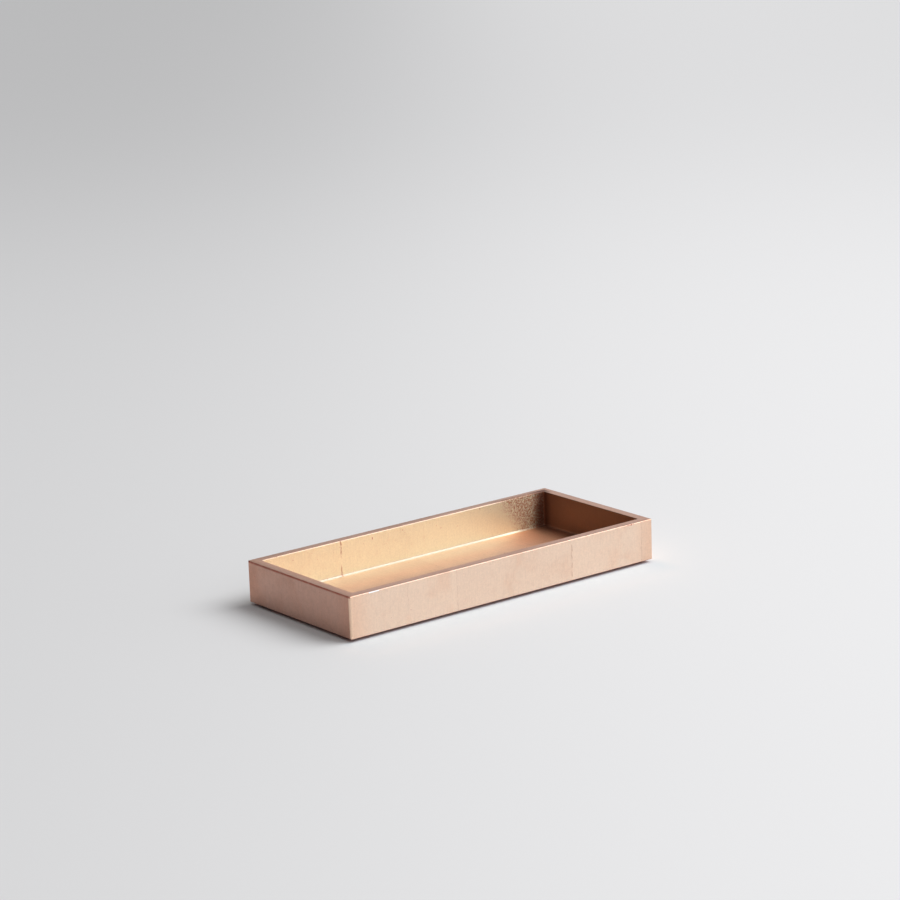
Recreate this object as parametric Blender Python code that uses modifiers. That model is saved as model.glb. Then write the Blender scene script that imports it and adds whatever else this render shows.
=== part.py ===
"""Shallow organizer tray: four mitred wall strips, a bottom panel in their rebate,
hidden corner splines across the mitres and four round pads to stand on.

The origin is the centre of the footprint, at the height of the table. The long
sides run along X, and the front wall faces -Y.
"""

import math

import bmesh
import bpy
from mathutils import Matrix, Vector

# Overall size of the wooden body, without its pads
TRAY_LENGTH = 0.225
TRAY_DEPTH = 0.100
BODY_HEIGHT = 0.025

# Wall strips
WALL_THICKNESS = 0.006
EDGE_RADIUS = 0.0005
RIM_INNER_RADIUS = 0.0005
CORNER_RADIUS = 0.001

# Bottom panel and the rebate that it is glued into
PANEL_THICKNESS = 0.0032
REBATE_WIDTH = 0.003
PANEL_CHAMFER = 0.0003
GLUE_GAP = 0.0003

# Loose splines across the mitres, stopped below the rim and above the rebate
SPLINE_THICKNESS = 0.0015
SPLINE_WIDTH = 0.005
SPLINE_FROM_INNER_CORNER = 0.0026
SPLINE_BELOW_RIM = 0.005
SPLINE_ABOVE_REBATE = 0.0015
SPLINE_CHAMFER = 0.0002

# Round pads under the corners
PAD_DIAMETER = 0.0064
PAD_HEIGHT = 0.0019
PAD_FROM_END = 0.0026
PAD_FROM_SIDE = 0.0049
PAD_EDGE_RADIUS = 0.0003

# Fineness of the rounded shapes
ARC_STEPS = 6
BEVEL_STEPS = 4
PAD_STEPS = 32
PAD_EDGE_STEPS = 2
SHARP_ANGLE = math.radians(40)
CUTTER_MARGIN = 0.002

# Finishes: colour, metallic value, roughness
ROSE_GOLD_LEAF = ((0.80, 0.54, 0.40), 1.0, 0.36)
BARE_WOOD = ((0.52, 0.36, 0.21), 0.0, 0.7)
BLACK_RUBBER = ((0.012, 0.012, 0.012), 0.0, 0.75)

# What follows from the sizes above
RIM_HEIGHT = PAD_HEIGHT + BODY_HEIGHT
REBATE_HEIGHT = PANEL_THICKNESS + GLUE_GAP
# Half a glue gap square to the mitre, measured along the wall
MITRE_SETBACK = GLUE_GAP / 2 * math.sqrt(2)

# Wall name: turn about Z from the front wall, length of the wall, distance across the tray
WALLS = {
    "front_wall": (0.0, TRAY_LENGTH, TRAY_DEPTH),
    "right_wall": (math.pi / 2, TRAY_DEPTH, TRAY_LENGTH),
    "back_wall": (math.pi, TRAY_LENGTH, TRAY_DEPTH),
    "left_wall": (-math.pi / 2, TRAY_DEPTH, TRAY_LENGTH),
}

# Corner name: which way it lies along X and Y, and the two walls that meet there
CORNERS = {
    "front_left": (-1, -1, ("front_wall", "left_wall")),
    "front_right": (1, -1, ("front_wall", "right_wall")),
    "back_right": (1, 1, ("back_wall", "right_wall")),
    "back_left": (-1, 1, ("back_wall", "left_wall")),
}


def clear_scene():
    for thing in list(bpy.data.objects):
        bpy.data.objects.remove(thing, do_unlink=True)


def new_collection(name):
    group = bpy.data.collections.new(name)
    bpy.context.scene.collection.children.link(group)
    return group


def new_material(name, colour, metallic, roughness):
    material = bpy.data.materials.new(name)
    material.use_nodes = True
    shader = material.node_tree.nodes["Principled BSDF"]
    shader.inputs["Base Color"].default_value = (*colour, 1.0)
    shader.inputs["Metallic"].default_value = metallic
    shader.inputs["Roughness"].default_value = roughness
    return material


def add_piece(name, mesh, finish, group, parent):
    piece = bpy.data.objects.new(name, mesh)
    piece.parent = parent
    if not mesh.materials:
        mesh.materials.append(None)
    slot = piece.material_slots[0]
    slot.link = "OBJECT"
    slot.material = new_material(name, *finish)
    mesh.set_sharp_from_angle(angle=SHARP_ANGLE)
    group.objects.link(piece)
    return piece


def add_cutter(name, mesh, group):
    cutter = bpy.data.objects.new(name, mesh)
    cutter.hide_render = True
    cutter.display_type = "WIRE"
    group.objects.link(cutter)
    return cutter


def box_mesh(name, size):
    mesh = bpy.data.meshes.new(name)
    shape = bmesh.new()
    bmesh.ops.create_cube(shape, size=1.0, matrix=Matrix.Diagonal((*size, 1.0)))
    shape.to_mesh(mesh)
    shape.free()
    return mesh


def round_edges(piece, radius, steps):
    bevel = piece.modifiers.new("rounded edges", "BEVEL")
    bevel.width = radius
    bevel.segments = steps
    bevel.limit_method = "ANGLE"


def combine(piece, other, operation):
    boolean = piece.modifiers.new(other.name, "BOOLEAN")
    boolean.operation = operation
    boolean.solver = "EXACT"
    boolean.object = other


def arc(centre, radius, start, end):
    """Points of an arc from one angle to another, both in degrees and both ends kept."""
    points = []
    for step in range(ARC_STEPS + 1):
        angle = math.radians(start + (end - start) * step / ARC_STEPS)
        points.append((centre[0] + radius * math.cos(angle), centre[1] + radius * math.sin(angle)))
    return points


def wall_section():
    """Outline of a wall strip: X is the depth from its outer face, Y the height."""
    outer = EDGE_RADIUS
    inner = RIM_INNER_RADIUS
    rebate_edge = WALL_THICKNESS - REBATE_WIDTH
    section = arc((outer, outer), outer, 180, 270)
    section += [(rebate_edge, 0.0), (rebate_edge, REBATE_HEIGHT), (WALL_THICKNESS, REBATE_HEIGHT)]
    section += arc((WALL_THICKNESS - inner, BODY_HEIGHT - inner), inner, 0, 90)
    section += arc((outer, BODY_HEIGHT - outer), outer, 90, 180)
    return section


def strip_mesh(name, length):
    """A wall strip of the section above, lying along X, with its outer face on the plane Y = 0."""
    curve = bpy.data.curves.new(name, "CURVE")
    curve.dimensions = "2D"
    curve.fill_mode = "BOTH"
    curve.extrude = length / 2
    section = wall_section()
    path = curve.splines.new("POLY")
    path.points.add(len(section) - 1)
    for point, (depth, height) in zip(path.points, section):
        point.co = (depth, height, 0.0, 1.0)
    path.use_cyclic_u = True
    outline = bpy.data.objects.new(name, curve)
    bpy.context.scene.collection.objects.link(outline)
    bpy.context.view_layer.update()
    evaluated = outline.evaluated_get(bpy.context.evaluated_depsgraph_get())
    mesh = bpy.data.meshes.new_from_object(evaluated)
    bpy.data.objects.remove(outline)
    stand_up_along_x = Matrix(((0, 0, 1, 0), (1, 0, 0, 0), (0, 1, 0, 0), (0, 0, 0, 1)))
    mesh.transform(stand_up_along_x)
    return mesh


def cut_mitres(mesh, length):
    """Leans both ends of a strip at 45 degrees, half a glue gap short of the mitre plane."""
    shape = bmesh.new()
    shape.from_mesh(mesh)
    bmesh.ops.remove_doubles(shape, verts=shape.verts, dist=1e-6)
    for vertex in shape.verts:
        reach = length / 2 - vertex.co.y - MITRE_SETBACK
        vertex.co.x = math.copysign(reach, vertex.co.x)
    bmesh.ops.recalc_face_normals(shape, faces=shape.faces)
    shape.to_mesh(mesh)
    shape.free()


def make_corner_rounder(cutters):
    """The block whose rounded upright edges the four walls are trimmed to."""
    mesh = bpy.data.meshes.new("corner_rounder")
    shape = bmesh.new()
    size = (TRAY_LENGTH, TRAY_DEPTH, BODY_HEIGHT + 2 * CUTTER_MARGIN)
    bmesh.ops.create_cube(shape, size=1.0, matrix=Matrix.Diagonal((*size, 1.0)))
    upright = []
    for edge in shape.edges:
        low, high = edge.verts
        if abs(low.co.z - high.co.z) > BODY_HEIGHT:
            upright.append(edge)
    bmesh.ops.bevel(
        shape,
        geom=upright,
        offset=CORNER_RADIUS,
        segments=2 * BEVEL_STEPS,
        profile=0.5,
        affect="EDGES",
    )
    shape.to_mesh(mesh)
    shape.free()
    rounder = add_cutter("corner_rounder", mesh, cutters)
    rounder.location = (0.0, 0.0, PAD_HEIGHT + BODY_HEIGHT / 2)
    return rounder


def make_wall(name, group, parent, rounder):
    turn, length, across = WALLS[name]
    mesh = strip_mesh(name, length)
    cut_mitres(mesh, length)
    wall = add_piece(name, mesh, ROSE_GOLD_LEAF, group, parent)
    outward = Matrix.Rotation(turn, 3, "Z") @ Vector((0.0, -across / 2, 0.0))
    wall.location = outward + Vector((0.0, 0.0, PAD_HEIGHT))
    wall.rotation_euler = (0.0, 0.0, turn)
    combine(wall, rounder, "INTERSECT")
    return wall


def make_bottom_panel(group, parent):
    to_rebate = 2 * (WALL_THICKNESS - REBATE_WIDTH + GLUE_GAP)
    size = (TRAY_LENGTH - to_rebate, TRAY_DEPTH - to_rebate, PANEL_THICKNESS)
    mesh = box_mesh("bottom_panel", size)
    panel = add_piece("bottom_panel", mesh, ROSE_GOLD_LEAF, group, parent)
    panel.location = (0.0, 0.0, PAD_HEIGHT + PANEL_THICKNESS / 2)
    round_edges(panel, PANEL_CHAMFER, 1)
    return panel


def spline_place(corner):
    """A corner spline's centre, its turn, which lays its width square to the mitre, and its height."""
    along_x, along_y, _ = CORNERS[corner]
    inner_x = TRAY_LENGTH / 2 - WALL_THICKNESS
    inner_y = TRAY_DEPTH / 2 - WALL_THICKNESS
    outwards = SPLINE_FROM_INNER_CORNER / math.sqrt(2)
    low = PAD_HEIGHT + REBATE_HEIGHT + SPLINE_ABOVE_REBATE
    high = RIM_HEIGHT - SPLINE_BELOW_RIM
    centre = Vector((along_x * (inner_x + outwards), along_y * (inner_y + outwards), (low + high) / 2))
    turn = -math.pi / 4 * along_x * along_y
    return centre, turn, high - low


def make_spline(corner, walls, group, cutters, parent):
    """A spline across a mitre, and the slots for it in the two walls."""
    centre, turn, height = spline_place(corner)
    size = Vector((SPLINE_WIDTH, SPLINE_THICKNESS, height))
    name = "corner_spline_" + corner
    spline = add_piece(name, box_mesh(name, size), BARE_WOOD, group, parent)
    spline.location = centre
    spline.rotation_euler = (0.0, 0.0, turn)
    round_edges(spline, SPLINE_CHAMFER, 1)
    clearance = Vector((2 * GLUE_GAP, 2 * GLUE_GAP, 2 * GLUE_GAP))
    slot = add_cutter("slot_" + corner, box_mesh("slot_" + corner, size + clearance), cutters)
    slot.location = centre
    slot.rotation_euler = (0.0, 0.0, turn)
    for wall_name in CORNERS[corner][2]:
        combine(walls[wall_name], slot, "DIFFERENCE")


def pad_mesh():
    """A pad that stands on Z = 0 and stops a glue gap below the tray."""
    height = PAD_HEIGHT - GLUE_GAP
    mesh = bpy.data.meshes.new("pad")
    shape = bmesh.new()
    bmesh.ops.create_cone(
        shape,
        cap_ends=True,
        segments=PAD_STEPS,
        radius1=PAD_DIAMETER / 2,
        radius2=PAD_DIAMETER / 2,
        depth=height,
        matrix=Matrix.Translation((0.0, 0.0, height / 2)),
    )
    shape.to_mesh(mesh)
    shape.free()
    mesh.shade_smooth()
    return mesh


def make_pad(corner, mesh, group, parent):
    along_x, along_y, _ = CORNERS[corner]
    pad = add_piece("pad_" + corner, mesh, BLACK_RUBBER, group, parent)
    from_centre_x = TRAY_LENGTH / 2 - PAD_FROM_END - PAD_DIAMETER / 2
    from_centre_y = TRAY_DEPTH / 2 - PAD_FROM_SIDE - PAD_DIAMETER / 2
    pad.location = (along_x * from_centre_x, along_y * from_centre_y, 0.0)
    round_edges(pad, PAD_EDGE_RADIUS, PAD_EDGE_STEPS)


def make_tray():
    clear_scene()
    group = new_collection("organizer_tray")
    cutters = new_collection("cutters")
    tray = bpy.data.objects.new("organizer_tray", None)
    group.objects.link(tray)

    rounder = make_corner_rounder(cutters)
    walls = {}
    for name in WALLS:
        walls[name] = make_wall(name, group, tray, rounder)
    make_bottom_panel(group, tray)
    pad = pad_mesh()
    for corner in CORNERS:
        make_spline(corner, walls, group, cutters, tray)
        make_pad(corner, pad, group, tray)


make_tray()
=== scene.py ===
"""Desk organizer tray in rose-gold metal leaf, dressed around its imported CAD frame.

The four walls, the bottom board and the pads are modelled with Blender's own operators, at the
places that the frame gives. All lengths are in metres.
"""

from dataclasses import dataclass
from math import cos, pi, radians, sin, sqrt

import bmesh
import bpy
from bpy.props import (
    FloatProperty,
    FloatVectorProperty,
    IntProperty,
    PointerProperty,
)
from mathutils import Matrix, Vector


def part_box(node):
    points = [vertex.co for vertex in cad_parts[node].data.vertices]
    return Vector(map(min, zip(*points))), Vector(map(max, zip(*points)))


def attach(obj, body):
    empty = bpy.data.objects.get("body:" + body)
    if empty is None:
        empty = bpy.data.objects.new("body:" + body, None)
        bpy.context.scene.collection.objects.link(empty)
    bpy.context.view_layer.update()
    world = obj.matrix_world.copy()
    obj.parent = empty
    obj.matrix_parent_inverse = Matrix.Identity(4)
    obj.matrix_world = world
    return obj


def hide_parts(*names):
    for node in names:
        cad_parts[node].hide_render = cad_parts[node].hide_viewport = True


bl_info = {
    "name": "Organizer Tray",
    "version": (1, 0, 0),
    "blender": (4, 5, 0),
    "location": "3D View > Sidebar > Tray",
    "description": "Models and finishes a leafed desk organizer tray",
    "category": "Object",
}

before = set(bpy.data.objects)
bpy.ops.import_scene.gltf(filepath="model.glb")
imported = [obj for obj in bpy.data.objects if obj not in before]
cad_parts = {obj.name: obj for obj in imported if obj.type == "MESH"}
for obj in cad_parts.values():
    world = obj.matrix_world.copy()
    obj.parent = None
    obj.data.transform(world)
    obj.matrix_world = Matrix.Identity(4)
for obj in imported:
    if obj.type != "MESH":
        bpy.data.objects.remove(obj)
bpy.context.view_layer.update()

MM = 0.001
SMOOTH_ANGLE = radians(35)
NEAR = 1e-6
SIDES = {
    "front": Vector((0, -1, 0)),
    "right": Vector((1, 0, 0)),
    "back": Vector((0, 1, 0)),
    "left": Vector((-1, 0, 0)),
}
CORNERS = {
    "front_left": Vector((-1, -1, 0)),
    "front_right": Vector((1, -1, 0)),
    "back_right": Vector((1, 1, 0)),
    "back_left": Vector((-1, 1, 0)),
}


def cad_size(node):
    """Lengths of a CAD node's box along X, Y and Z."""
    low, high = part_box(node)
    return high - low


# Sizes and colours that a user may change


class TraySizes(bpy.types.PropertyGroup):
    """Sizes of the tray's wooden pieces and pads."""

    wall_thickness: FloatProperty(
        name="Wall thickness",
        description="Thickness of the four wall strips",
        default=cad_size("front_wall").y,
        unit="LENGTH",
    )
    edge_radius: FloatProperty(
        name="Edge radius",
        description="Rounding of the outer edges at the rim and at the bottom",
        default=0.5 * MM,
        unit="LENGTH",
    )
    corner_radius: FloatProperty(
        name="Corner radius",
        description="Rounding of the four upright outer corners",
        default=1.0 * MM,
        unit="LENGTH",
    )
    rim_inner_radius: FloatProperty(
        name="Rim inner radius",
        description="Rounding of the rim's inner edge",
        default=0.5 * MM,
        unit="LENGTH",
    )
    cove_radius: FloatProperty(
        name="Cove radius",
        description="Hollow of filler where the walls meet the floor and each other",
        default=1.4 * MM,
        unit="LENGTH",
    )
    rebate_width: FloatProperty(
        name="Rebate width",
        description="How far the bottom board reaches into the walls",
        default=3.0 * MM,
        unit="LENGTH",
    )
    board_chamfer: FloatProperty(
        name="Board chamfer",
        description="Sanded edge of the bottom board and of the rebate",
        default=0.3 * MM,
        unit="LENGTH",
    )
    spline_slot: FloatVectorProperty(
        name="Spline slot",
        description="Width, thickness and height of the slot for a corner spline",
        default=(5.3 * MM, 1.8 * MM, 15.3 * MM),
        subtype="XYZ_LENGTH",
        unit="LENGTH",
    )
    edge_steps: IntProperty(
        name="Edge steps",
        description="Facets across each rounded edge",
        default=8,
    )
    pad_steps: IntProperty(
        name="Pad steps",
        description="Facets round each pad",
        default=64,
    )


class LeafLook(bpy.types.PropertyGroup):
    """Colours of the leaf, the wood and the pads."""

    leaf_colour: FloatVectorProperty(
        name="Leaf",
        description="Rose-gold leaf under clear lacquer",
        default=(0.96, 0.755, 0.59),
        subtype="COLOR",
    )
    # Also the colour of painted shade on the rims, the lips and the crumpled end.
    tarnish_and_shade_colour: FloatVectorProperty(
        name="Tarnish",
        description="Leaf where it has gone darker and redder",
        default=(0.54, 0.27, 0.17),
        subtype="COLOR",
    )
    seam_colour: FloatVectorProperty(
        name="Seam",
        description="Edge of one leaf over the next",
        default=(0.52, 0.27, 0.17),
        subtype="COLOR",
    )
    # Painted warm shade at the right end of the board.
    warm_shade_colour: FloatVectorProperty(
        name="Amber",
        description="Leaf that has gone warmer at the right end of the board",
        default=(0.96, 0.50, 0.29),
        subtype="COLOR",
    )
    blush_tint: FloatVectorProperty(
        name="Blush",
        description="What dyes the leaf pinker in soft patches and round the corners",
        default=(1.0, 0.78, 0.66),
        subtype="COLOR",
    )
    # Painted reflection: makes the board's front part rosier.
    rosy_reflection_tint: FloatVectorProperty(
        name="Rosy",
        description="What dyes the leaf redder on the board's front part",
        default=(1.2, 1.04, 1.0),
        subtype="COLOR",
    )
    # Painted highlight: darkens and cools the cove leaf around its highlight.
    painted_cove_highlight: FloatVectorProperty(
        name="Cove",
        description="What dims the leaf on the filler in the coves",
        default=(0.48, 0.46, 0.54),
        subtype="COLOR",
    )
    # Painted shade: the colour that the inside goes toward at the back right corner and along the
    # board's right end.
    corner_shade_colour: FloatVectorProperty(
        name="Nook",
        description="Leaf that has gone dark in an inner corner",
        default=(0.15, 0.045, 0.025),
        subtype="COLOR",
    )
    ground_colour: FloatVectorProperty(
        name="Ground",
        description="Red-brown ground that shows below the tray and where the leaf has chipped",
        default=(0.50, 0.15, 0.10),
        subtype="COLOR",
    )
    # White shown in spots on the front rim's lip.
    white_spot_colour: FloatVectorProperty(
        name="Filler",
        description="White filler that shows where ground and leaf have flaked off an edge",
        default=(0.93, 0.95, 0.97),
        subtype="COLOR",
    )
    wood_colour: FloatVectorProperty(
        name="Wood",
        description="Bare wood of the corner splines",
        default=(0.52, 0.36, 0.21),
        subtype="COLOR",
    )
    rubber_colour: FloatVectorProperty(
        name="Rubber",
        description="Matt black pads",
        default=(0.012, 0.012, 0.012),
        subtype="COLOR",
    )


class StageLook(bpy.types.PropertyGroup):
    """Floor, light and camera."""

    floor_grey: FloatProperty(
        name="Floor grey",
        description="Lightness of the floor by the tray",
        default=0.785,
        subtype="FACTOR",
    )
    key_strength: FloatProperty(
        name="Key strength",
        description="Strength of the wide soft key light",
        default=2.25,
    )
    key_angle: FloatProperty(
        name="Key width",
        description="How wide the key light looks from the tray",
        default=radians(46),
        subtype="ANGLE",
    )
    fill_strength: FloatProperty(
        name="Fill strength",
        description="Light from the dim side of the studio",
        default=0.04,
    )
    lens: FloatProperty(
        name="Lens",
        description="Focal length on a 36 mm sensor",
        default=120.44,
        unit="CAMERA",
    )


# Shader maths


class Channel:
    """One output socket, with Python's operators for shader maths."""

    def __init__(self, finish, socket):
        self.finish = finish
        self.socket = socket

    def __add__(self, other):
        return self.finish.maths("ADD", self, other)

    def __radd__(self, other):
        return self.finish.maths("ADD", other, self)

    def __sub__(self, other):
        return self.finish.maths("SUBTRACT", self, other)

    def __rsub__(self, other):
        return self.finish.maths("SUBTRACT", other, self)

    def __mul__(self, other):
        return self.finish.maths("MULTIPLY", self, other)

    def __rmul__(self, other):
        return self.finish.maths("MULTIPLY", other, self)

    def __truediv__(self, other):
        return self.finish.maths("DIVIDE", self, other)

    def __pow__(self, other):
        return self.finish.maths("POWER", self, other)

    def __abs__(self):
        return self.finish.maths("ABSOLUTE", self)

    def above(self, limit):
        """1 where this is more than limit, else 0."""
        return self.finish.maths("GREATER_THAN", self, limit)

    def below(self, limit):
        """1 where this is less than limit, else 0."""
        return self.finish.maths("LESS_THAN", self, limit)

    def at_least(self, limit):
        """The larger of this and limit."""
        return self.finish.maths("MAXIMUM", self, limit)

    def at_most(self, limit):
        """The smaller of this and limit."""
        return self.finish.maths("MINIMUM", self, limit)

    def levelled(self):
        """Follow small values and settle at -1 and 1 for large ones."""
        return self.finish.maths("TANH", self)

    def ease(self, start, end, low=0.0, high=1.0):
        """Go smoothly from low at start to high at end, and stay there on both sides."""
        return self.finish.add(
            "ShaderNodeMapRange",
            {"interpolation_type": "SMOOTHSTEP"},
            {0: self, 1: start, 2: end, 3: low, 4: high},
        )

    def line(self, place, width):
        """1 at place, falling to 0 within width on both sides."""
        return (1 - abs(self - place) / width).at_least(0)

    def part(self, output):
        """Another output of the node that gives this one."""
        return Channel(self.finish, self.socket.node.outputs[output])


class Finish:
    """A material, or the world, and the nodes that make it."""

    def __init__(self, owner):
        owner.use_nodes = True
        self.owner = owner
        self.tree = owner.node_tree
        self.tree.nodes.clear()

    def add(self, kind, settings=None, inputs=None, output=0):
        """Add a node, set it up, fill its sockets and return one of its outputs."""
        node = self.tree.nodes.new(kind)
        for name, value in (settings or {}).items():
            setattr(node, name, value)
        for name, value in (inputs or {}).items():
            if isinstance(value, Channel):
                self.tree.links.new(value.socket, node.inputs[name])
            else:
                node.inputs[name].default_value = value
        return Channel(self, node.outputs[output]) if len(node.outputs) else None

    def maths(self, operation, *values):
        """Add a Math node and return what it gives."""
        return self.add("ShaderNodeMath", {"operation": operation}, dict(enumerate(values)))

    def place(self):
        """Object coordinates, in metres from the tray's origin."""
        return self.add("ShaderNodeTexCoord", output="Object")

    def stretch(self, vector, scale):
        """Scale a vector along X, Y and Z."""
        return self.add("ShaderNodeVectorMath", {"operation": "MULTIPLY"}, {0: vector, 1: scale})

    def blend(self, factor, first, second, mode="MIX"):
        """Mix two colours."""
        settings = {"data_type": "RGBA", "blend_type": mode}
        return self.add("ShaderNodeMix", settings, {0: factor, 6: first, 7: second}, output=2)

    def noise(self, vector, scale, detail=2.0, roughness=0.5, distortion=0.0):
        """Soft noise from 0 to 1, mostly near 0.5."""
        inputs = {
            "Vector": vector,
            "Scale": scale,
            "Detail": detail,
            "Roughness": roughness,
            "Distortion": distortion,
        }
        return self.add("ShaderNodeTexNoise", inputs=inputs)

    def bump(self, height, depth, strength=1.0, under=None):
        """Turn heights from 0 to 1 into a relief of that depth."""
        inputs = {"Strength": strength, "Distance": depth, "Height": height}
        if under is not None:
            inputs["Normal"] = under
        return self.add("ShaderNodeBump", inputs=inputs)

    def surface(self, **values):
        """Add the Principled shader and the material's output."""
        inputs = {name.replace("_", " "): value for name, value in values.items()}
        shader = self.add("ShaderNodeBsdfPrincipled", inputs=inputs)
        self.add("ShaderNodeOutputMaterial", inputs={"Surface": shader})
        return self.owner


def colour(value):
    """A colour property as red, green, blue and alpha."""
    return (*value, 1.0)


# How the leaf lies on each piece


@dataclass
class Leafing:
    """How the leaf lies on one piece.

    Leaves follow one another along one axis. Each leaf edge is given as its place on that axis,
    how much lighter the next leaf is, and how dark the edge shows. Nicks and white spots are given
    as their place and their reach on that axis. Tints are parts of the leaf's colour, and lengths
    are in metres. The face tints and the rim tints are painted shade and painted reflection, and
    the corner shade is painted shade.
    """

    along: str
    outside: tuple
    inside: tuple
    outer_tint_and_shade: tuple = (1.0, 1.0, 1.0)
    inner_tint_and_shade: tuple = (0.90, 0.93, 0.88)
    rim_reflection_tint: tuple = (1.0, 1.0, 1.0)
    rim_painted_shade: float = 0.45
    lip_width: float = 0.0006
    lip_wear_and_shade: float = 0.12
    nicks: tuple = ()
    white_spots: tuple = ()
    corner_shade_start: float | None = None
    corner_shade_reach: float = 0.010
    mottling: float = 0.0
    has_crumple_and_shade: bool = False
    has_painted_cove_highlight: bool = True


# The face tints below are painted shade and painted reflection, strongest on the right wall's
# inside, the left wall's outside and the board.
LEAFING = {
    "front": Leafing(
        along="X",
        outside=(
            (-0.072, 0.05, 0.3),
            (-0.037, -0.08, 0.35),
            (0.049, 0.07, 0.8),
            (0.1035, -0.10, 0.5),
        ),
        inside=((-0.081, 0.05, 0.5), (-0.012, -0.05, 0.5), (0.071, 0.05, 0.5)),
        outer_tint_and_shade=(0.965, 0.945, 0.955),
        rim_reflection_tint=(1.0, 0.86, 0.90),
        rim_painted_shade=0.35,
        nicks=((0.0955, 0.0035),),
        white_spots=((-0.0958, 0.0042),),
    ),
    "back": Leafing(
        along="X",
        outside=((-0.088, 0.05, 0.5), (-0.020, -0.07, 0.5), (0.047, 0.07, 0.5)),
        inside=((-0.050, 0.05, 1.5), (0.012, 0.05, 0.3)),
        inner_tint_and_shade=(0.91, 1.08, 1.04),
        rim_reflection_tint=(1.10, 1.02, 1.10),
        rim_painted_shade=0.58,
        corner_shade_start=0.0945,
        has_crumple_and_shade=True,
    ),
    "left": Leafing(
        along="Y",
        outside=((-0.012, 0.05, 0.4), (0.033, -0.06, 0.4)),
        inside=((0.009, 0.06, 0.5),),
        outer_tint_and_shade=(0.60, 0.46, 0.46),
        rim_reflection_tint=(1.0, 0.84, 0.84),
        lip_width=0.0009,
        lip_wear_and_shade=1.2,
        mottling=0.30,
    ),
    "right": Leafing(
        along="Y",
        outside=((0.007, -0.06, 0.5), (0.039, 0.05, 0.5)),
        inside=((-0.019, 0.06, 0.4),),
        outer_tint_and_shade=(0.92, 0.88, 0.86),
        inner_tint_and_shade=(0.39, 0.25, 0.205),
        rim_reflection_tint=(1.0, 0.84, 0.86),
        rim_painted_shade=0.30,
        corner_shade_start=0.036,
        has_painted_cove_highlight=False,
    ),
    "board": Leafing(
        along="X",
        outside=(),
        inside=((-0.062, -0.05, 0.3), (0.004, 0.06, 0.3), (0.072, -0.06, 0.3)),
        inner_tint_and_shade=(0.78, 0.77, 0.76),
        corner_shade_start=0.088,
        corner_shade_reach=0.022,
    ),
}


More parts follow.
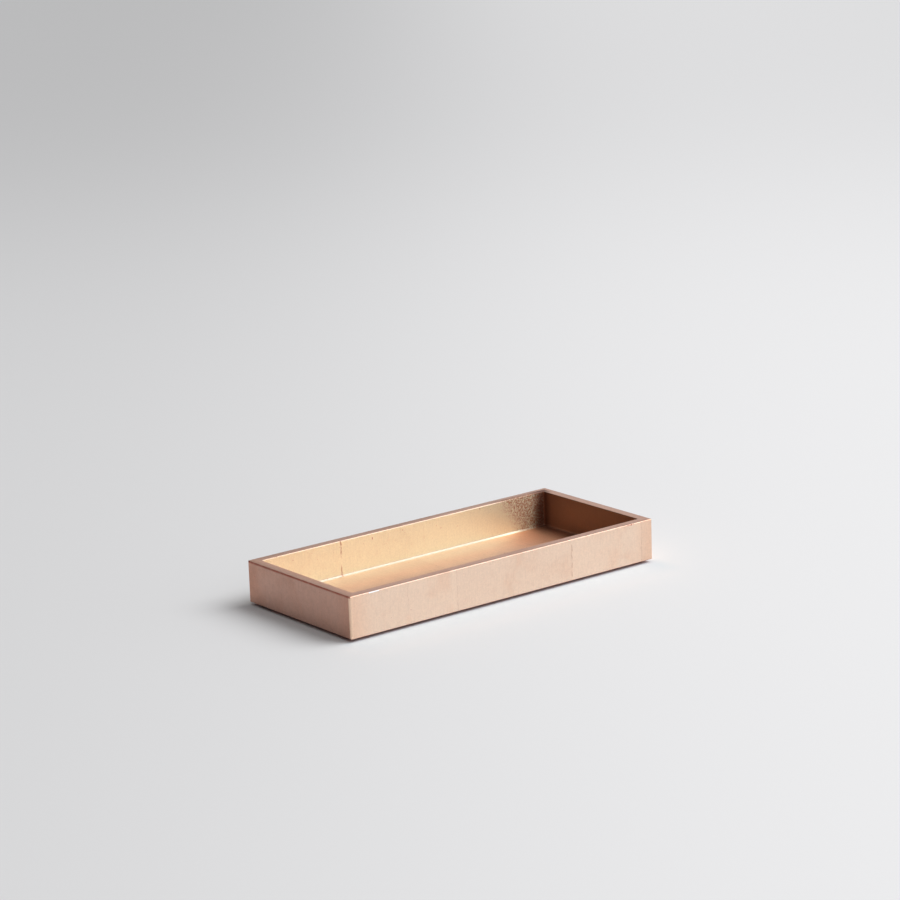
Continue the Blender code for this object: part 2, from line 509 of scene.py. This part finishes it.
class LeafCoat:
    """The leaf on one piece: where its zones lie, and what they make of its surface.

    A zone is 1 inside and 0 outside. The scale of a noise is in patches a metre.
    """

    def __init__(self, side):
        self.is_wall = side in SIDES
        self.leafing = LEAFING[side]
        self.look = bpy.context.scene.tray_look
        self.finish = Finish(bpy.data.materials.new(f"rose_gold_leaf_{side}"))
        self.place = self.finish.place()
        axes = self.finish.add("ShaderNodeSeparateXYZ", inputs={0: self.place})
        self.spot = {"X": axes, "Y": axes.part("Y"), "Z": axes.part("Z")}
        self.run = self.spot[self.leafing.along]
        self.height = self.spot["Z"]
        self.floor_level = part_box("bottom_panel")[1].z
        self.rim_level = body_box()[1].z
        self.add_patterns()
        self.mark_faces(side)
        self.mark_edges()
        self.lay_leaves()

    def add_patterns(self):
        """The noises that the colour, the wear and the relief share."""
        noise, place = self.finish.noise, self.place
        self.wander = noise(place, 160, detail=3, roughness=0.6) - 0.5
        self.cloud = noise(place, 34, detail=3, roughness=0.55, distortion=0.6)
        self.mottle = noise(place, 330, detail=3, roughness=0.6)
        self.grain = noise(place, 2100, detail=2, roughness=0.55)
        self.fleck = noise(place, 950, detail=2, roughness=0.6) - 0.5
        self.broken = noise(place, 260, detail=3).ease(0.37, 0.60)
        streak_scale = (1500, 1500, 110) if self.is_wall else (1100, 110, 110)
        self.streak = noise(self.finish.stretch(place, streak_scale), 1, detail=2)

    def mark_faces(self, side):
        """The outside, its near upright corner, and the ends that leaf is wrapped round."""
        if self.is_wall:
            along = "XYZ".index(self.leafing.along)
            across = 1 - along
            low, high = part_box(f"{side}_wall")
            self.outside = self.spot["XYZ"[across]].above((low + high)[across] / 2)
            if SIDES[side][across] < 0:
                self.outside = 1 - self.outside
            end = high[along]
            self.corner = self.run.ease(0.7 * MM - end, 1.4 * MM - end, 1, 0) * self.outside
            self.wrapped = abs(self.run).ease(end - 18 * MM, end) * self.outside
        else:
            self.outside = self.height.below(self.floor_level - MM)
            self.corner, self.wrapped = 0.0, 0.0
        self.inside = 1 - self.outside

    def mark_edges(self):
        """The rim's flat crown, its outer lip, the bare bottom edge, and the crumpled end, which
        also takes painted dark reflection.
        """
        height, leafing = self.height, self.leafing
        self.crown = height.ease(self.rim_level - 0.16 * MM, self.rim_level - 0.03 * MM)
        lip_end = self.rim_level - leafing.lip_width
        self.lip = height.ease(lip_end - 0.25 * MM, lip_end) * (1 - self.crown) * self.outside
        leaf_end = height + (self.mottle - 0.5) * (0.5 * MM)
        self.bare = leaf_end.ease(low_edge() + 0.12 * MM, low_edge() + 0.32 * MM, 1, 0)
        self.crumple_and_shade = 0.0
        if leafing.has_crumple_and_shade:
            slant = self.run + (height - self.floor_level) * 0.75
            self.crumple_and_shade = slant.ease(0.078, 0.102) * self.inside

    def lay_leaves(self):
        """Leaf by leaf: its tone, and the dark broken line of its edge."""

        def leaves_on(face):
            tone, edge = 0.0, 0.0
            for position, lighter, dark in face:
                distance = self.run - position + self.wander * (3.2 * MM)
                tone = tone + distance.above(0) * lighter
                edge = edge + distance.line(0.12 * MM, (0.25 + dark * 0.3) * MM) * dark
            return tone, edge

        tone_out, edge_out = leaves_on(self.leafing.outside)
        tone_in, edge_in = leaves_on(self.leafing.inside)
        self.tone = self.outside * (tone_out - tone_in) + tone_in
        edge = self.outside * (edge_out - edge_in) + edge_in
        self.edge = (edge * self.broken).at_most(1)

    def face_and_rim_tint(self):
        """The leaf on the faces, the corners and the rim. The face tints are painted shade and
        painted reflection; the rounded rim edges and the outside upright corners keep plain leaf;
        the rim's crown takes the rim tint, a painted reflection; soft blush patches follow.
        """
        look, leafing, finish = self.look, self.leafing, self.finish
        face = finish.blend(
            self.outside,
            tinted(look.leaf_colour, leafing.inner_tint_and_shade),
            tinted(look.leaf_colour, leafing.outer_tint_and_shade),
        )
        level = self.height + self.outside * (0.08 * MM)
        flank = level.ease(self.rim_level - 0.30 * MM, self.rim_level - 0.02 * MM, 1, 0)
        tint = finish.blend(flank * (1 - self.corner), colour(look.leaf_colour), face)
        # The rim's crown takes the rim tint, a painted reflection: pinker on the back rim and
        # redder on the others.
        tint = finish.blend(self.crown, tint, tinted(look.leaf_colour, leafing.rim_reflection_tint))
        blush = self.cloud.ease(0.50, 0.72) * 0.22 * self.outside + self.wrapped * 0.38
        return finish.blend(blush, tint, colour(look.blush_tint), "MULTIPLY")

    def board_tint(self, tint):
        """Painted reflection on the board, rosier on its front part, and painted warm shade,
        orange-brown, at its right end by the right wall.
        """
        rosy_reflection = self.spot["Y"].ease(0.021, 0.037, 1, 0)
        tint = self.finish.blend(rosy_reflection, tint, colour(self.look.rosy_reflection_tint), "MULTIPLY")
        warm_shade = self.run.ease(0.050, 0.090) * 0.75 * self.inside
        return self.finish.blend(warm_shade, tint, colour(self.look.warm_shade_colour))

    def painted_cove_highlight(self, tint):
        """Painted highlight: the leaf low in the coves is darkened and cooled, so that the coves'
        highlight shows as one thin whitish line; less so toward the right end.
        """
        dim = self.height.line(self.floor_level + 0.35 * MM, 0.75 * MM) * self.inside
        dim = dim * self.run.ease(0.050, 0.085, 1, 0.35)
        return self.finish.blend(dim, tint, colour(self.look.painted_cove_highlight), "MULTIPLY")

    def tarnish_and_shade(self):
        """How far the leaf is darker: tarnished in soft patches and from leaf to leaf, with
        painted shade on the rim's crown and on the lip, a darker line along the top of the coves,
        a board darker toward the back, and painted dark reflection at the crumpled end.
        """
        amount = self.cloud.ease(0.42, 0.75) * 0.10 + self.mottle.ease(0.45, 0.80) * 0.10
        # The rim's crown is darkened as painted shade.
        amount = amount - self.tone + self.crown * self.leafing.rim_painted_shade
        if self.is_wall:
            # Painted shade on the lip dims its highlight; a darker line runs along the top of the
            # coves.
            cove_top = self.height.line(self.floor_level + 1.0 * MM, 0.35 * MM) * self.inside
            amount = amount + cove_top * 0.4 + self.lip * 0.08
        else:
            # The board is darker toward the back wall.
            amount = amount + self.spot["Y"].ease(0.018, 0.043) * 0.12
        if self.leafing.has_crumple_and_shade:
            folds = self.finish.noise(self.place, 600, detail=3, distortion=2.0)
            wrinkle_glint = (1 - abs(folds - 0.5) * 9).at_least(0)
            # Painted dark reflection at the crumpled end, lighter along its wrinkles as painted
            # glints.
            amount = amount + self.crumple_and_shade * (1.15 - wrinkle_glint * 0.8 + self.fleck * 5)
        return amount

    def tint(self, chip, whitened):
        """The leaf's colour, with the face and rim tints, tarnishing and painted shade, leaf
        edges, painted corner shade, flecks, chips and white spots.
        """
        look, leafing, finish = self.look, self.leafing, self.finish
        tint = self.face_and_rim_tint()
        if not self.is_wall:
            tint = self.board_tint(tint)
        elif leafing.has_painted_cove_highlight:
            tint = self.painted_cove_highlight(tint)
        tint = finish.blend(self.tarnish_and_shade(), tint, colour(look.tarnish_and_shade_colour))
        tint = finish.blend(self.edge * 0.8, tint, colour(look.seam_colour))
        if leafing.corner_shade_start is not None:
            # Painted shade toward the back right corner, and along the board's right end.
            corner_shade = self.run.ease(leafing.corner_shade_start, leafing.corner_shade_start + leafing.corner_shade_reach)
            tint = finish.blend(corner_shade * self.inside * 0.85, tint, colour(look.corner_shade_colour))
        shade = 0.86 + self.streak * 0.13 + self.grain * 0.15 + self.fleck * 0.19
        shade = shade + (self.mottle - 0.5) * leafing.mottling
        grey = finish.add("ShaderNodeCombineColor", inputs={0: shade, 1: shade, 2: shade})
        tint = finish.blend(1.0, tint, grey, "MULTIPLY")
        tint = finish.blend(chip, tint, colour(look.ground_colour))
        if leafing.white_spots:
            tint = finish.blend(whitened, tint, colour(look.white_spot_colour))
        return tint

    def wear(self):
        """Bare ground below the tray, along rubbed lips and in chips, and white spots on the lip.
        On the left wall the lip's ground also stands as painted shade for a dark reflection.
        """
        noise, place = self.finish.noise, self.place
        speck = noise(place, 620, detail=1).ease(0.775, 0.79)
        chip = noise(place, 520, detail=2).ease(0.70, 0.72) * self.lip + speck * 0.8
        for position, reach in self.leafing.nicks:
            ragged = noise(place, 900, detail=2).ease(0.40, 0.50)
            chip = chip + self.run.line(position, reach).ease(0.1, 0.5) * self.lip * ragged
        # Rubbed lip; the left wall's strong value paints its outer top edge dark, as painted
        # shade.
        worn_and_shaded = self.lip * self.leafing.lip_wear_and_shade * (0.6 + self.broken * 0.4)
        chip = (chip + worn_and_shaded).at_least(self.bare).at_most(1)
        whitened = 0.0
        # White spots on the lip, where the leaf is also less metallic.
        for position, reach in self.leafing.white_spots:
            whitened = whitened + self.run.line(position, reach).ease(0.05, 0.25) * self.lip
        return chip, whitened

    def satin(self):
        """Roughness of the leaf, smoother outside than inside."""
        rough = 0.50 - self.outside * 0.15 + self.lip * 0.12
        return rough + self.mottle * 0.08 + self.grain * 0.05 + self.edge * 0.10

    def gathered_lacquer(self):
        """Where clear lacquer has gathered: in the coves and along the rim's inner edge."""
        if not self.is_wall:
            return 0.0
        in_cove = self.height.line(self.floor_level + 0.60 * MM, 0.22 * MM) * 0.3
        by_rim = self.height.line(self.rim_level - 0.2 * MM, 0.3 * MM)
        return (in_cove + by_rim) * self.inside

    def relief(self, chip):
        """Crinkles where the leaf lies loose, soft mottling, raised leaf edges and chips."""
        finish = self.finish
        folds = finish.noise(self.place, 620, detail=4, roughness=0.6, distortion=1.2)
        crinkle = (1 - abs(folds - 0.5) * 6).at_least(0)
        loose = 0.22 + self.cloud.ease(0.52, 0.70) * 0.35 + self.crumple_and_shade * 2.0
        relief = finish.bump(crinkle * loose, 0.10 * MM)
        relief = finish.bump(self.mottle, 0.10 * MM, 0.35, under=relief)
        return finish.bump(self.edge - chip, 0.03 * MM, 0.8, under=relief)


def leaf_finish(side):
    """Rose-gold leaf for one wall or for the board.

    Overlapping leaves with soft patches and fine streaks lie on a red-brown ground. The ground
    shows below the tray, on rubbed edges and in chips. Painted shade and painted reflection
    darken some faces, the rims, the inner corners and the crumpled end, and the coves' leaf is
    darkened around their highlight.
    """
    coat = LeafCoat(side)
    chip, whitened = coat.wear()
    return coat.finish.surface(
        Base_Color=coat.tint(chip, whitened),
        Metallic=(1 - chip * 0.85 - whitened).at_least(0),
        Roughness=coat.satin() + chip * 0.20,
        Coat_Weight=0.10 + coat.gathered_lacquer() * 0.45,
        Coat_Roughness=0.16,
        Normal=coat.relief(chip),
    )


def tinted(value, tint):
    """A colour property times a tint, as red, green, blue and alpha."""
    return colour([part * factor for part, factor in zip(value, tint)])


def low_edge():
    """Height of the wooden body's underside."""
    return body_box()[0].z


def wood_finish():
    """Bare wood with fine straight grain, for the splines inside the mitres."""
    look = bpy.context.scene.tray_look
    finish = Finish(bpy.data.materials.new("bare_spline_wood"))
    place = finish.place()
    grain = finish.noise(finish.stretch(place, (1400, 1400, 70)), 1, detail=4, roughness=0.6)
    pores = finish.noise(finish.stretch(place, (5200, 5200, 320)), 1, detail=1).ease(0.62, 0.70)
    light = colour(look.wood_colour)
    dark = colour([0.55 * value for value in look.wood_colour])
    tint = finish.blend(grain.ease(0.35, 0.70), light, dark)
    tint = finish.blend(pores * 0.6, tint, dark)
    return finish.surface(
        Base_Color=tint,
        Roughness=0.62 + grain * 0.2,
        Normal=finish.bump(grain - pores, 0.05 * MM, 0.5),
    )


def rubber_finish():
    """Matt black rubber with a fine moulded grain and a little dust."""
    look = bpy.context.scene.tray_look
    finish = Finish(bpy.data.materials.new("black_pad_rubber"))
    place = finish.place()
    grain = finish.noise(place, 5200, detail=2, roughness=0.6)
    dust = finish.noise(place, 1400, detail=3, roughness=0.7).ease(0.55, 0.80)
    tint = finish.blend(dust * 0.35, colour(look.rubber_colour), (0.05, 0.048, 0.046, 1))
    return finish.surface(
        Base_Color=tint,
        Roughness=0.66 + dust * 0.2,
        Normal=finish.bump(grain, 0.03 * MM, 0.6),
    )


# Modelling with Blender's operators


def start_box(name, low, high):
    """Add a cube that fills the box from low to high, with its origin at the tray's origin."""
    bpy.ops.object.select_all(action="DESELECT")
    bpy.ops.mesh.primitive_cube_add(size=1, location=(low + high) / 2, scale=high - low)
    return settle(name)


def settle(name):
    """Name the active object, and put its place, turn and size into its mesh."""
    bpy.ops.object.transform_apply(location=True, rotation=True, scale=True)
    piece = bpy.context.object
    piece.name = piece.data.name = name
    return piece


def choose(piece):
    """Make one object the selected and active one."""
    bpy.ops.object.select_all(action="DESELECT")
    piece.select_set(True)
    bpy.context.view_layer.objects.active = piece


def pick(kind, test):
    """Select the faces, edges or vertices of the mesh in edit mode that pass the test."""
    bpy.ops.mesh.select_mode(type=kind)
    bpy.ops.mesh.select_all(action="DESELECT")
    data = bpy.context.edit_object.data
    mesh = bmesh.from_edit_mesh(data)
    found = 0
    for element in {"FACE": mesh.faces, "EDGE": mesh.edges, "VERT": mesh.verts}[kind]:
        if test(element):
            element.select_set(True)
            found += 1
    if not found:
        raise RuntimeError(f"nothing to pick on {data.name}")
    bmesh.update_edit_mesh(data)


def level_at(height):
    """A test for flat faces that lie at one height."""
    def test(face):
        return all(abs(vertex.co.z - height) < NEAR for vertex in face.verts)

    return test


def middle(edge):
    """Midpoint of an edge."""
    return (edge.verts[0].co + edge.verts[1].co) / 2


def copy_of(piece, name):
    """Copy a piece with its own mesh."""
    choose(piece)
    bpy.ops.object.duplicate()
    twin = bpy.context.object
    twin.name = twin.data.name = name
    return twin


def remove(piece):
    """Delete a helper object and its mesh."""
    data = piece.data
    bpy.data.objects.remove(piece)
    bpy.data.meshes.remove(data)


def cut_away(piece, cutter):
    """Take the cutter's shape out of the piece, and delete the cutter."""
    choose(piece)
    modifier = piece.modifiers.new("cut", "BOOLEAN")
    modifier.operation = "DIFFERENCE"
    modifier.solver = "EXACT"
    modifier.object = cutter
    bpy.ops.object.modifier_apply(modifier=modifier.name)
    remove(cutter)


def smooth(piece):
    """Smooth the rounded edges, and keep the flat faces flat."""
    choose(piece)
    bpy.ops.object.shade_smooth_by_angle(angle=SMOOTH_ANGLE)
    modifier = piece.modifiers.new("even", "WEIGHTED_NORMAL")
    modifier.weight = 100
    modifier.keep_sharp = True
    bpy.ops.object.modifier_apply(modifier=modifier.name)


def dress(piece, material, slot, *nodes):
    """Give a piece its material and its body, and let it stand for CAD nodes, which are hidden.
    The slot is not used.
    """
    piece.data.materials.clear()
    piece.data.materials.append(material)
    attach(piece, "root")
    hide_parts(*nodes)


def body_box():
    """Lowest and highest corner of the wooden body, without its pads."""
    boxes = [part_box(f"{side}_wall") for side in SIDES]
    low = Vector(min(box[0][axis] for box in boxes) for axis in range(3))
    high = Vector(max(box[1][axis] for box in boxes) for axis in range(3))
    return low, high


def ring_of_walls(sizes):
    """Model all four walls as one ring, with the coves on the floor and the rebate below."""
    low, high = body_box()
    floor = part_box("bottom_panel")[1].z
    ring = start_box("wall_ring", low, high)
    round_outside(ring, sizes)
    bpy.ops.object.mode_set(mode="EDIT")
    steps = {"segments": sizes.edge_steps, "profile": 0.5, "affect": "EDGES"}

    # Hollow above, and rebate for the board below, both to the level of the floor
    pick("FACE", level_at(high.z))
    bpy.ops.mesh.inset(thickness=sizes.wall_thickness - sizes.edge_radius)
    bpy.ops.mesh.extrude_region_move(TRANSFORM_OT_translate={"value": (0, 0, floor - high.z)})
    pick("FACE", level_at(low.z))
    bpy.ops.mesh.inset(thickness=sizes.rebate_width - sizes.edge_radius)
    bpy.ops.mesh.extrude_region_move(TRANSFORM_OT_translate={"value": (0, 0, floor - low.z)})

    # Coves in the hollow, then the rim's inner edge
    reach = high - Vector((1, 1, 0)) * (sizes.wall_thickness - NEAR)

    def within(edge):
        spot = middle(edge)
        return abs(spot.x) < reach.x and abs(spot.y) < reach.y

    pick("EDGE", lambda edge: within(edge) and floor - NEAR < middle(edge).z < high.z - NEAR)
    bpy.ops.mesh.bevel(offset=sizes.cove_radius, **steps)
    pick("EDGE", lambda edge: within(edge) and middle(edge).z > high.z - NEAR)
    bpy.ops.mesh.bevel(offset=sizes.rim_inner_radius, **steps)

    # The board's top shows between the coves, so the walls are open there
    pick("FACE", level_at(floor))
    bpy.ops.mesh.delete(type="FACE")
    pick("EDGE", lambda edge: edge.is_boundary)
    bpy.ops.mesh.bridge_edge_loops()
    bpy.ops.mesh.select_all(action="SELECT")
    bpy.ops.mesh.normals_make_consistent(inside=False)
    bpy.ops.object.mode_set(mode="OBJECT")
    return ring


def round_outside(box, sizes):
    """Round the upright edges of a box more than its level ones."""

    def is_upright(edge):
        return abs(edge.verts[0].co.z - edge.verts[1].co.z) > NEAR

    bpy.ops.object.mode_set(mode="EDIT")
    pick("EDGE", is_upright)
    bpy.ops.transform.edge_bevelweight(value=1)
    pick("EDGE", lambda edge: not is_upright(edge))
    bpy.ops.transform.edge_bevelweight(value=sizes.edge_radius / sizes.corner_radius)
    bpy.ops.object.mode_set(mode="OBJECT")
    modifier = box.modifiers.new("round", "BEVEL")
    modifier.limit_method = "WEIGHT"
    modifier.width = sizes.corner_radius
    modifier.segments = sizes.edge_steps
    bpy.ops.object.modifier_apply(modifier=modifier.name)


def mitred_wall(ring, side, sizes):
    """Cut one wall strip out of the ring along its two mitres, with its halves of the slots."""
    outward = SIDES[side]
    _, high = body_box()
    wall = copy_of(ring, f"{side}_wall_leafed")
    bpy.ops.object.mode_set(mode="EDIT")
    bpy.ops.mesh.select_mode(type="FACE")
    bpy.ops.mesh.select_all(action="SELECT")
    bpy.ops.mesh.bisect(
        plane_co=(0, 0, 0),
        plane_no=-outward,
        clear_outer=True,
        threshold=NEAR,
    )
    along = Vector((-outward.y, outward.x, 0))
    for end in (along, -along):
        corner = Vector(((outward + end).x * high.x, (outward + end).y * high.y, 0))
        bpy.ops.mesh.select_all(action="SELECT")
        bpy.ops.mesh.bisect(
            plane_co=corner,
            plane_no=(end - outward) / sqrt(2),
            use_fill=True,
            clear_outer=True,
            threshold=NEAR,
        )
    bpy.ops.object.mode_set(mode="OBJECT")
    for corner_name, corner in CORNERS.items():
        if corner.dot(outward) > 0:
            cut_away(wall, slot_cutter(corner_name, corner, sizes))
    smooth(wall)
    return wall


def slot_cutter(corner_name, corner, sizes):
    """A box the size of the spline's slot, turned across the mitre."""
    low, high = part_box(f"corner_spline_{corner_name}")
    bpy.ops.object.select_all(action="DESELECT")
    bpy.ops.mesh.primitive_cube_add(
        size=1,
        location=(low + high) / 2,
        rotation=(0, 0, -corner.x * corner.y * pi / 4),
        scale=sizes.spline_slot,
    )
    return settle("slot_cutter")


def rubber_pad(low, high, sizes):
    """A stick-on pad under the tray's middle, between two corners' heights.

    It is tapered rubber with a rounded foot, a shallow dish and an adhesive disc.
    """
    radius = (high.x - low.x) / 2
    taper = 0.94
    foot_radius, shoulder_radius = 0.45 * MM, 0.15 * MM
    dish_rim, dish_slope, dish_depth = 0.35 * MM, 0.25 * MM, 0.12 * MM
    disc, disc_inset = 0.15 * MM, 0.2 * MM
    bpy.ops.object.select_all(action="DESELECT")
    bpy.ops.mesh.primitive_cylinder_add(
        vertices=sizes.pad_steps,
        radius=radius,
        depth=high.z - low.z - disc,
        location=(0, 0, (low.z + high.z - disc) / 2),
    )
    pad = settle("pad_pattern")
    bpy.ops.object.mode_set(mode="EDIT")

    is_foot = level_at(low.z)
    is_top = level_at(high.z - disc)

    def rim_edge(test):
        return lambda edge: any(map(test, edge.link_faces)) and not all(map(test, edge.link_faces))

    # Narrower at the foot, then a rounded edge and a shallow dish
    pick("FACE", is_foot)
    bpy.ops.transform.resize(value=(taper, taper, 1), center_override=(0, 0, low.z))
    pick("EDGE", rim_edge(is_foot))
    bpy.ops.mesh.bevel(offset=foot_radius, segments=6, profile=0.5, affect="EDGES")
    pick("FACE", is_foot)
    bpy.ops.mesh.inset(thickness=dish_rim)
    bpy.ops.mesh.inset(thickness=dish_slope, depth=-dish_depth)

    # Rounded shoulder, then the adhesive disc
    pick("EDGE", rim_edge(is_top))
    bpy.ops.mesh.bevel(offset=shoulder_radius, segments=4, profile=0.5, affect="EDGES")
    pick("FACE", is_top)
    bpy.ops.mesh.inset(thickness=disc_inset)
    bpy.ops.mesh.extrude_region_move(TRANSFORM_OT_translate={"value": (0, 0, disc)})
    bpy.ops.object.mode_set(mode="OBJECT")
    smooth(pad)
    return pad


# Operators


class TRAY_OT_walls(bpy.types.Operator):
    """Model the four mitred walls with their coves, and lay leaf on them."""

    bl_idname = "tray.walls"
    bl_label = "Walls"

    def execute(self, context):
        sizes = context.scene.tray_sizes
        ring = ring_of_walls(sizes)
        for side in SIDES:
            wall = mitred_wall(ring, side, sizes)
            dress(wall, leaf_finish(side), "rose_gold_leaf", f"{side}_wall")
        remove(ring)
        return {"FINISHED"}


class TRAY_OT_board(bpy.types.Operator):
    """Model the bottom board that lies in the rebate, and lay leaf on it."""

    bl_idname = "tray.board"
    bl_label = "Bottom board"

    def execute(self, context):
        sizes = context.scene.tray_sizes
        board = start_box("bottom_board_leafed", *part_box("bottom_panel"))
        bpy.ops.object.mode_set(mode="EDIT")
        bpy.ops.mesh.select_mode(type="EDGE")
        bpy.ops.mesh.select_all(action="SELECT")
        bpy.ops.mesh.bevel(offset=sizes.board_chamfer, segments=2, profile=0.5, affect="EDGES")
        bpy.ops.object.mode_set(mode="OBJECT")
        smooth(board)
        dress(board, leaf_finish("board"), "rose_gold_leaf", "bottom_panel")
        return {"FINISHED"}


class TRAY_OT_splines(bpy.types.Operator):
    """Give the corner splines, which stay as in the frame, their bare wood."""

    bl_idname = "tray.splines"
    bl_label = "Corner splines"

    def execute(self, context):
        material = wood_finish()
        for corner in CORNERS:
            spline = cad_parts[f"corner_spline_{corner}"]
            for slot in spline.material_slots:
                slot.material = material
        return {"FINISHED"}


class TRAY_OT_pads(bpy.types.Operator):
    """Model one rubber pad, and copy it under the four corners."""

    bl_idname = "tray.pads"
    bl_label = "Pads"

    def execute(self, context):
        sizes = context.scene.tray_sizes
        material = rubber_finish()
        pattern = rubber_pad(*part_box("pad_front_left"), sizes)
        for corner in CORNERS:
            node = f"pad_{corner}"
            low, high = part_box(node)
            pad = copy_of(pattern, f"{node}_rubber")
            bpy.ops.transform.translate(value=((low.x + high.x) / 2, (low.y + high.y) / 2, 0))
            settle(pad.name)
            dress(pad, material, "black_rubber", node)
        remove(pattern)
        return {"FINISHED"}


class TRAY_OT_stage(bpy.types.Operator):
    """Lay the pale floor, and set up the soft light and the camera."""

    bl_idname = "tray.stage"
    bl_label = "Floor, light and camera"

    def execute(self, context):
        look = context.scene.tray_stage
        lay_floor(look)
        light_studio(context.scene, look)
        aim_camera(context.scene, look)
        context.scene.view_settings.view_transform = "Standard"
        return {"FINISHED"}


# The photograph's camera, found from the tray's edges, and the studio's light
CAMERA_PLACE = Vector((-1.044632, -1.349122, 0.521232))
CAMERA_AZIMUTH = radians(-37.7520)
CAMERA_ELEVATION = radians(14.4583)
CAMERA_ROLL = radians(-1.9661)
TOWARDS_KEY = Vector((0.539, -0.350, 0.766))

# Soft light from the studio: direction, sharpness and strength
STUDIO_GLOWS = (
    (Vector((0.66, -0.72, 0.25)), 6, 1.0),
    (Vector((0.75, 0.62, 0.15)), 8, 0.8),
    (Vector((-0.10, -0.75, 0.65)), 4, 0.8),
    (Vector((0, 0, 1)), 5, 0.30),
)


def lay_floor(look):
    """A large floor with painted light falloff: darker to the far left and further away.

    It has painted shade, darker and cooler, in front of the front wall, which cancels the leaf's
    pink glow on the floor.
    """
    size = 24
    left_fade, left_fade_width = -0.026, 0.269
    far_fade, far_fade_width = 1.25, 0.685
    bpy.ops.object.select_all(action="DESELECT")
    bpy.ops.mesh.primitive_plane_add(size=size)
    floor = settle("studio_floor")
    finish = Finish(bpy.data.materials.new("pale_floor"))
    place = finish.place()
    axes = finish.add("ShaderNodeSeparateXYZ", inputs={0: place})
    across, along = axes, axes.part("Y")
    rightward = across * cos(CAMERA_AZIMUTH) + along * sin(CAMERA_AZIMUTH)
    away = along * cos(CAMERA_AZIMUTH) - across * sin(CAMERA_AZIMUTH)
    # Painted light falloff across the floor's colour.
    side = ((rightward - left_fade) / left_fade_width).levelled()
    depth = ((away - far_fade) / far_fade_width).levelled()
    grey = (0.9091 + side * 0.1584 - depth * 0.0942) * look.floor_grey
    low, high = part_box("front_wall")
    # Painted shade in front of the front wall, darker and cooler.
    painted_shade_patch = along.ease(low.y - 28 * MM, low.y - 1 * MM) * along.below(low.y + 3 * MM)
    painted_shade_patch = painted_shade_patch * abs(across).ease(high.x - 4 * MM, high.x + 10 * MM, 1, 0)
    inputs = {
        0: grey * (1 - painted_shade_patch * 0.14),
        1: grey * (1 - painted_shade_patch * 0.075),
        2: grey * (1.012 - painted_shade_patch * 0.04),
    }
    tint = finish.add("ShaderNodeCombineColor", inputs=inputs)
    matt = finish.surface(Base_Color=tint, Roughness=0.9, Specular_IOR_Level=0.0)
    floor.data.materials.append(matt)


def light_studio(scene, look):
    """One wide soft key light, and a studio that is bright in front and dim behind."""
    lamp = bpy.data.lights.new("soft_key", "SUN")
    lamp.energy = look.key_strength
    lamp.angle = look.key_angle
    key = bpy.data.objects.new("soft_key", lamp)
    scene.collection.objects.link(key)
    key.rotation_euler = TOWARDS_KEY.to_track_quat("Z", "Y").to_euler()

    world = bpy.data.worlds.new("soft_studio")
    scene.world = world
    finish = Finish(world)
    direction = finish.add("ShaderNodeTexCoord", output="Generated")

    strength = look.fill_strength
    for centre, sharpness, brightness in STUDIO_GLOWS:
        settings = {"operation": "DOT_PRODUCT"}
        inputs = {0: direction, 1: centre.normalized()}
        towards = finish.add("ShaderNodeVectorMath", settings, inputs, "Value")
        strength = strength + towards.at_least(0) ** sharpness * brightness
    inputs = {"Color": (1, 1, 1, 1), "Strength": strength}
    light = finish.add("ShaderNodeBackground", inputs=inputs)
    finish.add("ShaderNodeOutputWorld", inputs={"Surface": light})


def aim_camera(scene, look):
    """The camera of the photograph: low, over the near left corner, with a long lens."""
    data = bpy.data.cameras.new("camera")
    data.sensor_width = 36
    data.lens = look.lens
    data.clip_start = 0.05
    data.clip_end = 50
    camera = bpy.data.objects.new("camera", data)
    scene.collection.objects.link(camera)
    back = Vector((
        sin(CAMERA_AZIMUTH) * cos(CAMERA_ELEVATION),
        -cos(CAMERA_AZIMUTH) * cos(CAMERA_ELEVATION),
        sin(CAMERA_ELEVATION),
    ))
    level = Vector((cos(CAMERA_AZIMUTH), sin(CAMERA_AZIMUTH), 0))
    upright = back.cross(level)
    right = cos(CAMERA_ROLL) * level + sin(CAMERA_ROLL) * upright
    up = -sin(CAMERA_ROLL) * level + cos(CAMERA_ROLL) * upright
    turn = Matrix((right, up, back)).transposed().to_4x4()
    camera.matrix_world = Matrix.Translation(CAMERA_PLACE) @ turn
    scene.camera = camera


class TRAY_PT_panel(bpy.types.Panel):
    """Lists what the add-on makes."""

    bl_idname = "TRAY_PT_panel"
    bl_label = "Organizer tray"
    bl_space_type = "VIEW_3D"
    bl_region_type = "UI"
    bl_category = "Tray"

    def draw(self, context):
        for operator in OPERATORS:
            self.layout.operator(operator.bl_idname)


OPERATORS = (
    TRAY_OT_walls,
    TRAY_OT_board,
    TRAY_OT_splines,
    TRAY_OT_pads,
    TRAY_OT_stage,
)
GROUPS = {
    "tray_sizes": TraySizes,
    "tray_look": LeafLook,
    "tray_stage": StageLook,
}
CLASSES = (*GROUPS.values(), *OPERATORS, TRAY_PT_panel)


def register():
    """Register the classes and hang the settings on the scene."""
    for item in CLASSES:
        bpy.utils.register_class(item)
    for name, group in GROUPS.items():
        setattr(bpy.types.Scene, name, PointerProperty(type=group))


def unregister():
    """Take the settings and the classes away again."""
    for name in GROUPS:
        delattr(bpy.types.Scene, name)
    for item in reversed(CLASSES):
        bpy.utils.unregister_class(item)


def main():
    """Build the whole tray and its stage."""
    register()
    bpy.ops.tray.walls()
    bpy.ops.tray.board()
    bpy.ops.tray.splines()
    bpy.ops.tray.pads()
    bpy.ops.tray.stage()


if __name__ == "__main__":
    main()
